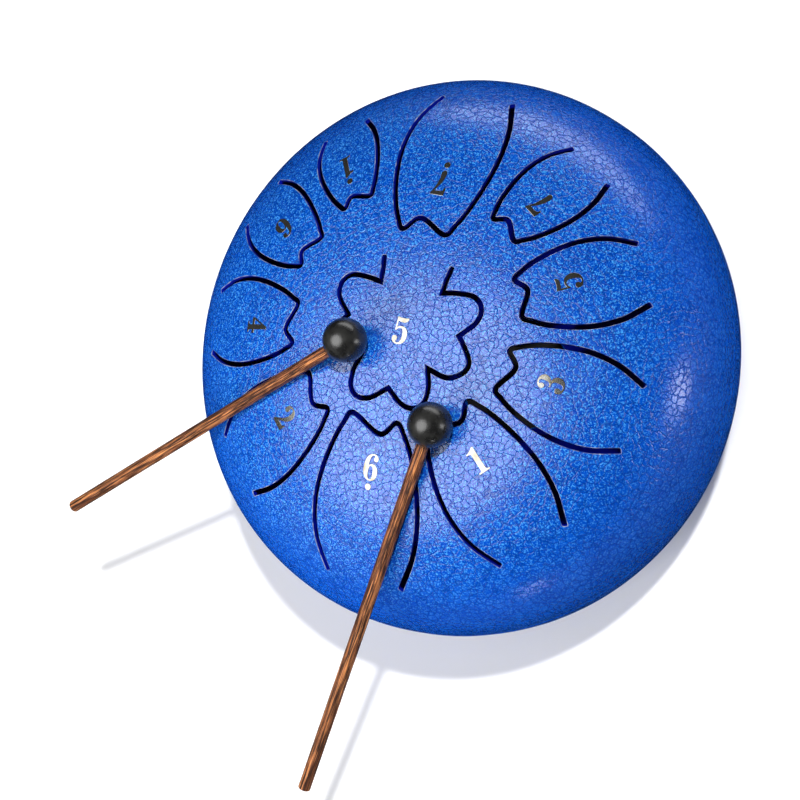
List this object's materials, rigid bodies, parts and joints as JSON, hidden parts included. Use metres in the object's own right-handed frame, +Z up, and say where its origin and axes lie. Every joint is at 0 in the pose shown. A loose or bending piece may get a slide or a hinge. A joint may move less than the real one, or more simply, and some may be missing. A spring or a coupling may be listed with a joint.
{
  "type": "steel tongue drum",
  "caption": "Domed steel tongue drum of two welded shells, with slit tongues round a flower-shaped centre note, foil number marks, rubber feet and a pair of ball mallets.",
  "frame": {"origin": "on the standing surface, under the middle of the box round the drum and its two mallets", "axes": "+Z up along the drum's own axis, -Y towards the player's side, where the low 6 tongue and the mallet handles point"},
  "size_m": [0.1828, 0.2084, 0.1002],
  "materials": {
    "enamel": "saturated blue enamel with a fine leather-like crackle grain, satin gloss",
    "foil": "thin silver foil numerals, bright, slightly warm",
    "rubber": "black satin rubber",
    "adhesive": "pale double-sided foam tape",
    "stick_wood": "reddish brown hardwood with dark open grain, matte"
  },
  "bodies": {
    "drum": {"top_shell": "enamel", "bottom_shell": "enamel", "equator_weld": "enamel", "adhesive_disc_front": "adhesive", "adhesive_disc_left": "adhesive", "adhesive_disc_right": "adhesive", "rubber_foot_front": "rubber", "rubber_foot_left": "rubber", "rubber_foot_right": "rubber"},
    "note_low_5": {"tongue_low_5": "enamel", "mark_low_5": "foil"},
    "note_low_6": {"tongue_low_6": "enamel", "mark_low_6": "foil", "octave_dot_low_6": "foil"},
    "note_low_7": {"tongue_low_7": "enamel", "mark_low_7": "foil", "octave_dot_low_7": "foil"},
    "note_1": {"tongue_1": "enamel", "mark_1": "foil"},
    "note_2": {"tongue_2": "enamel", "mark_2": "foil"},
    "note_3": {"tongue_3": "enamel", "mark_3": "foil"},
    "note_4": {"tongue_4": "enamel", "mark_4": "foil"},
    "note_5": {"tongue_5": "enamel", "mark_5": "foil"},
    "note_6": {"tongue_6": "enamel", "mark_6": "foil"},
    "note_7": {"tongue_7": "enamel", "mark_7": "foil"},
    "note_high_1": {"tongue_high_1": "enamel", "mark_high_1": "foil", "octave_dot_high_1": "foil"},
    "mallet_left": {"mallet_head_left": "rubber", "mallet_stick_left": "stick_wood"},
    "mallet_right": {"mallet_head_right": "rubber", "mallet_stick_right": "stick_wood"}
  },
  "joints": [
    {"name": "tongue_low_5_flex", "type": "hinge", "parent": "drum", "child": "note_low_5", "pos_m": [0.01143, 0.04439, 0.08688], "axis": [0.9997, 0.0244, 0], "range_deg": [-0.4, 0.4], "stiffness_Nm_per_rad": 33.9},
    {"name": "tongue_low_6_flex", "type": "hinge", "parent": "drum", "child": "note_low_6", "pos_m": [0.01191, -0.04207, 0.0723], "axis": [-1, 0, 0], "range_deg": [-0.4, 0.4], "stiffness_Nm_per_rad": 58.1},
    {"name": "tongue_low_7_flex", "type": "hinge", "parent": "drum", "child": "note_low_7", "pos_m": [0.00894, 0.09288, 0.07111], "axis": [0.999, 0.0436, 0], "range_deg": [-0.4, 0.4], "stiffness_Nm_per_rad": 58.8},
    {"name": "tongue_1_flex", "type": "hinge", "parent": "drum", "child": "note_1", "pos_m": [0.05752, -0.02135, 0.07382], "axis": [-0.7108, -0.7034, 0], "range_deg": [-0.4, 0.4], "stiffness_Nm_per_rad": 52.5},
    {"name": "tongue_2_flex", "type": "hinge", "parent": "drum", "child": "note_2", "pos_m": [-0.03345, -0.02077, 0.07425], "axis": [-0.7083, 0.7059, 0], "range_deg": [-0.4, 0.4], "stiffness_Nm_per_rad": 46.9},
    {"name": "tongue_3_flex", "type": "hinge", "parent": "drum", "child": "note_3", "pos_m": [0.07588, 0.01689, 0.07411], "axis": [-0.1219, -0.9925, 0], "range_deg": [-0.4, 0.4], "stiffness_Nm_per_rad": 47.7},
    {"name": "tongue_4_flex", "type": "hinge", "parent": "drum", "child": "note_4", "pos_m": [-0.05257, 0.01694, 0.07375], "axis": [-0.1201, 0.9928, 0], "range_deg": [-0.4, 0.4], "stiffness_Nm_per_rad": 45.7},
    {"name": "tongue_5_flex", "type": "hinge", "parent": "drum", "child": "note_5", "pos_m": [0.06941, 0.0543, 0.07397], "axis": [0.4571, -0.8894, 0], "range_deg": [-0.4, 0.4], "stiffness_Nm_per_rad": 50.8},
    {"name": "tongue_6_flex", "type": "hinge", "parent": "drum", "child": "note_6", "pos_m": [-0.04806, 0.05284, 0.07278], "axis": [0.4242, 0.9056, 0], "range_deg": [-0.4, 0.4], "stiffness_Nm_per_rad": 46.3},
    {"name": "tongue_7_flex", "type": "hinge", "parent": "drum", "child": "note_7", "pos_m": [0.0473, 0.07967, 0.07346], "axis": [0.8406, -0.5417, 0], "range_deg": [-0.4, 0.4], "stiffness_Nm_per_rad": 45.4},
    {"name": "tongue_high_1_flex", "type": "hinge", "parent": "drum", "child": "note_high_1", "pos_m": [-0.02755, 0.07769, 0.07293], "axis": [0.8018, 0.5976, 0], "range_deg": [-0.4, 0.4], "stiffness_Nm_per_rad": 42.4},
    {"name": "mallet_left_lift", "type": "slide", "parent": "drum", "child": "mallet_left", "axis": [0, 0, 1], "range_m": [0, 0.08]},
    {"name": "mallet_right_lift", "type": "slide", "parent": "drum", "child": "mallet_right", "axis": [0, 0, 1], "range_m": [0, 0.08]}
  ]
}
